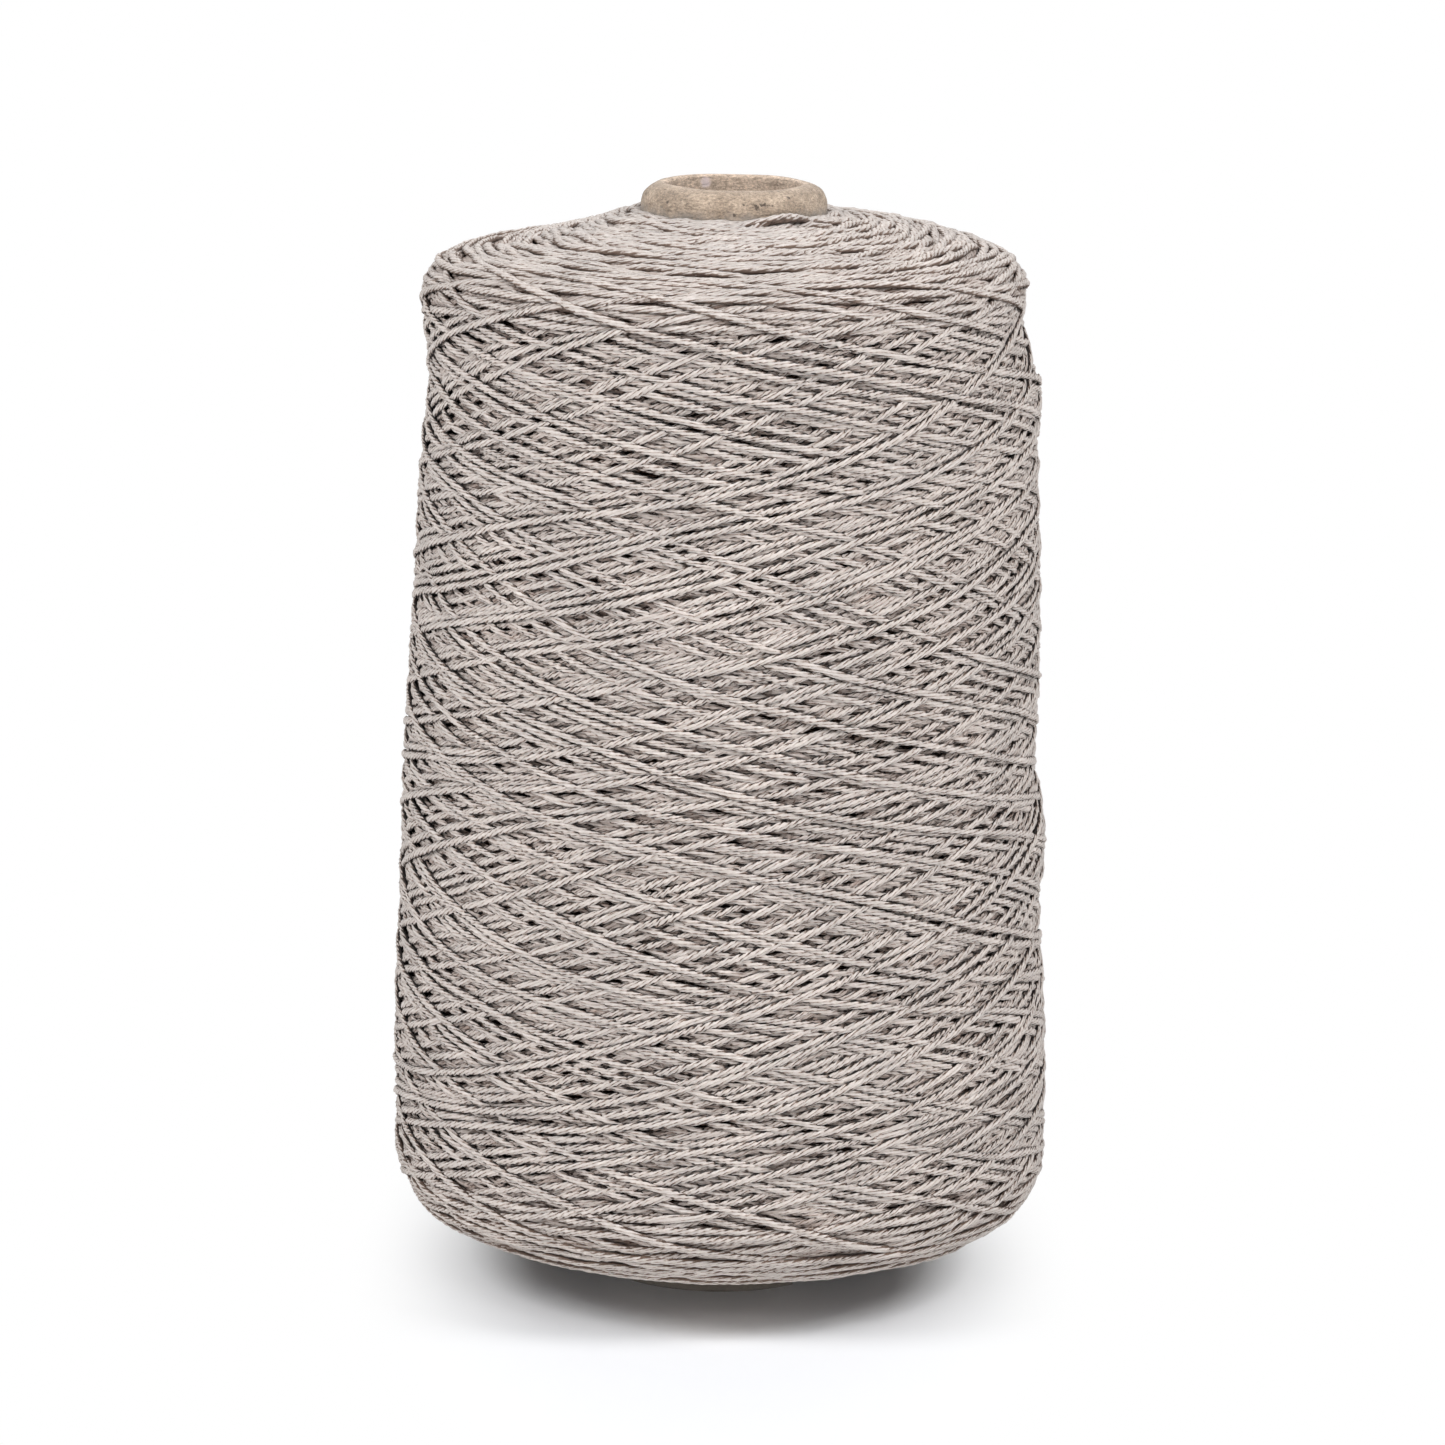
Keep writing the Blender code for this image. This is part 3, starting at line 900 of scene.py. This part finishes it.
yarn_finish = make_yarn_finish()
for piece in strand_pieces:
    piece.data.materials.append(yarn_finish)
    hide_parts("outer_winding", "yarn_body")
    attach(piece, "root")


# ---------------------------------------------------------------------------------------------
# The inner winding. Under the turns that show, the same strand fills the package down to the
# cone. It is only glimpsed at the bottom of the gaps, so it is one turned body.

HIDDEN_DEPTH = 0.0030            # below the outline, where turns are no longer seen
CONE_CLEARANCE = 0.0003
WINDING_SEGMENTS = 180


def make_inner_winding():
    """The outline drawn in along its normals to the hidden depth, less so near the cone, and
    closed along the cone."""
    pick = np.linspace(0, RUN_CELLS - 1, 150).astype(int)
    run = OUTLINE["run"][pick]
    off_cone = np.clip(np.minimum(run, RUN_LENGTH - run) / 0.006, 0.0, 1.0)
    depth = HIDDEN_DEPTH * (0.45 + 0.55 * off_cone) + 0.5 * STRAND_THICKNESS
    radius = OUTLINE["radius"][pick] - depth * OUTLINE["normal_r"][pick]
    height = OUTLINE["height"][pick] - depth * OUTLINE["normal_z"][pick]
    inner = [(cone_radius(end) + CONE_CLEARANCE, end) for end in (height[-1], height[0])]
    radius[0], radius[-1] = inner[1][0] + 0.0002, inner[0][0] + 0.0002
    profile = np.vstack([np.column_stack([radius, height]), inner])[::-1]
    angle = np.arange(WINDING_SEGMENTS) * math.tau / WINDING_SEGMENTS
    points = np.stack([profile[:, 0][:, None] * np.cos(angle),
                       profile[:, 0][:, None] * np.sin(angle),
                       profile[:, 1][:, None] + 0.0 * angle], axis=-1)
    return grid_mesh("inner_winding", points,
                     lambda row, column: np.stack([column * 2.3, row * 0.37], axis=-1))


inner_winding = make_inner_winding()
# Painted shade: these marks give the inner winding the yarn's painted dark brown of deep turns.
for mark, level in (("buried", 3.2), ("facing", 0.3)):
    mark_points(inner_winding, mark, np.full(len(inner_winding.data.vertices), level))
inner_winding.data.materials.append(yarn_finish)
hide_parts("yarn_body")
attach(inner_winding, "root")


# ---------------------------------------------------------------------------------------------
# The stage: a pale floor that runs out of the picture, five square soft boxes round and above the
# package, the strongest in front and at the sides, a dim even fill, and the photograph's camera.

FLOOR_REACH = 12.0
OVAL_HALF_WIDTH = 0.078
OVAL_HALF_DEPTH = 0.175


def make_floor():
    """Matt white paper. The camera sees it lit by the lamps in an oval under the package, turning
    plain white towards the oval's edge. In the middle of the oval the paper is painted paler than
    further out, and over all of it lies a faint white glow: both are painted light that lifts the
    shadow. Light bounces off it as off pale paper."""
    under, outer = (0.95, 0.94, 0.94, 1.0), (0.675, 0.685, 0.705, 1.0)
    pale = (0.95, 0.95, 0.95, 1.0)
    corners = [(-FLOOR_REACH, -FLOOR_REACH, 0.0), (FLOOR_REACH, -FLOOR_REACH, 0.0),
               (FLOOR_REACH, FLOOR_REACH, 0.0), (-FLOOR_REACH, FLOOR_REACH, 0.0)]
    mesh = bpy.data.meshes.new("floor")
    mesh.from_pydata(corners, [], [(0, 1, 2, 3)])
    floor = bpy.data.objects.new("floor", mesh)
    bpy.context.scene.collection.objects.link(floor)
    material, tree, shader = new_finish("white_paper_sweep")
    position = add_node(tree, "ShaderNodeTexCoord").outputs["Object"]
    oval = vector_node(tree, "MULTIPLY", position,
                       (1.0 / OVAL_HALF_WIDTH, 1.0 / OVAL_HALF_DEPTH, 0.0)).outputs["Vector"]
    away = vector_node(tree, "LENGTH", oval).outputs["Value"]
    rays = add_node(tree, "ShaderNodeLightPath").outputs
    # Painted light: to the camera the paper is paler under the package, which lifts its shadow.
    paper = mixed(tree, ramp(tree, away, 0.20, 0.40), under, outer)
    set_inputs(tree, shader, {"Base Color": mixed(tree, rays["Is Camera Ray"], pale, paper),
                              "Roughness": 1.0, "Specular IOR Level": 0.0})
    seen = math_node(tree, "MAXIMUM", rays["Is Camera Ray"], rays["Is Glossy Ray"])
    # The least share, 0.02, is a faint painted glow that lifts the shadow under the package.
    whiteness = times(tree, seen, math_node(tree, "MAXIMUM", ramp(tree, away, 0.44, 1.0), 0.02))
    white = add_node(tree, "ShaderNodeEmission", {"Strength": 1.0})
    shown = add_node(tree, "ShaderNodeMixShader", {
        0: whiteness, 1: shader.outputs["BSDF"], 2: white.outputs["Emission"]})
    set_inputs(tree, tree.nodes["Material Output"], {"Surface": shown.outputs["Shader"]})
    mesh.materials.append(material)


def make_lamp(name, place, size, power):
    """A square soft box that faces the middle of the package."""
    lamp = bpy.data.lights.new(name, "AREA")
    lamp.shape = "SQUARE"
    lamp.size = size
    lamp.energy = power
    holder = bpy.data.objects.new(name, lamp)
    bpy.context.scene.collection.objects.link(holder)
    aim = np.array((0.0, 0.0, 0.5 * CONE_LENGTH)) - np.array(place)
    aim /= np.linalg.norm(aim)
    holder.location = place
    holder.rotation_euler = (math.acos(-aim[2]), 0.0, math.atan2(aim[0], -aim[1]) + math.pi)


def make_world():
    """White to the camera and in reflections, and a dim even fill to everything else."""
    white = (1.0, 1.0, 1.0, 1.0)
    world = bpy.data.worlds.new("studio")
    bpy.context.scene.world = world
    world.use_nodes = True
    tree = world.node_tree
    fill = tree.nodes["Background"]
    set_inputs(tree, fill, {"Color": white, "Strength": 0.16})
    backdrop = add_node(tree, "ShaderNodeBackground", {"Color": white, "Strength": 1.0})
    rays = add_node(tree, "ShaderNodeLightPath").outputs
    seen = math_node(tree, "MAXIMUM", rays["Is Camera Ray"],
                     math_node(tree, "MAXIMUM", rays["Is Glossy Ray"], rays["Is Transmission Ray"]))
    chosen = add_node(tree, "ShaderNodeMixShader", {
        0: seen, 1: fill.outputs["Background"], 2: backdrop.outputs["Background"]})
    set_inputs(tree, tree.nodes["World Output"], {"Surface": chosen.outputs["Shader"]})


CAMERA_DISTANCE = 1.300
CAMERA_HEIGHT = 0.380
CAMERA_PITCH = math.radians(11.46)
CAMERA_ROLL = math.radians(1.05)
CAMERA_ASIDE = -0.0004
LENS = 157.9
SENSOR = 36.0


def make_camera():
    """The camera looks down at the package from the front, rolled a little, as in the photo."""
    camera = bpy.data.cameras.new("camera")
    camera.lens = LENS
    camera.sensor_width = SENSOR
    camera.clip_start = 0.05
    holder = bpy.data.objects.new("camera", camera)
    bpy.context.scene.collection.objects.link(holder)
    holder.matrix_world = (Matrix.Translation((CAMERA_ASIDE, -CAMERA_DISTANCE, CAMERA_HEIGHT))
                           @ Matrix.Rotation(0.5 * math.pi - CAMERA_PITCH, 4, "X")
                           @ Matrix.Rotation(CAMERA_ROLL, 4, "Z"))
    bpy.context.scene.camera = holder


make_floor()
make_lamp("back_softbox", (0.0, 0.85, 1.15), size=1.2, power=7.0)
make_lamp("key_softbox", (0.0, -1.05, 1.25), size=1.3, power=14.0)
make_lamp("left_softbox", (-1.12, -0.55, 1.05), size=0.6, power=15.6)
make_lamp("right_softbox", (1.10, -0.42, 1.18), size=0.6, power=17.8)
make_lamp("low_softbox", (0.0, -1.30, 0.08), size=0.5, power=4.4)
make_world()
make_camera()
bpy.context.scene.view_settings.view_transform = "Standard"
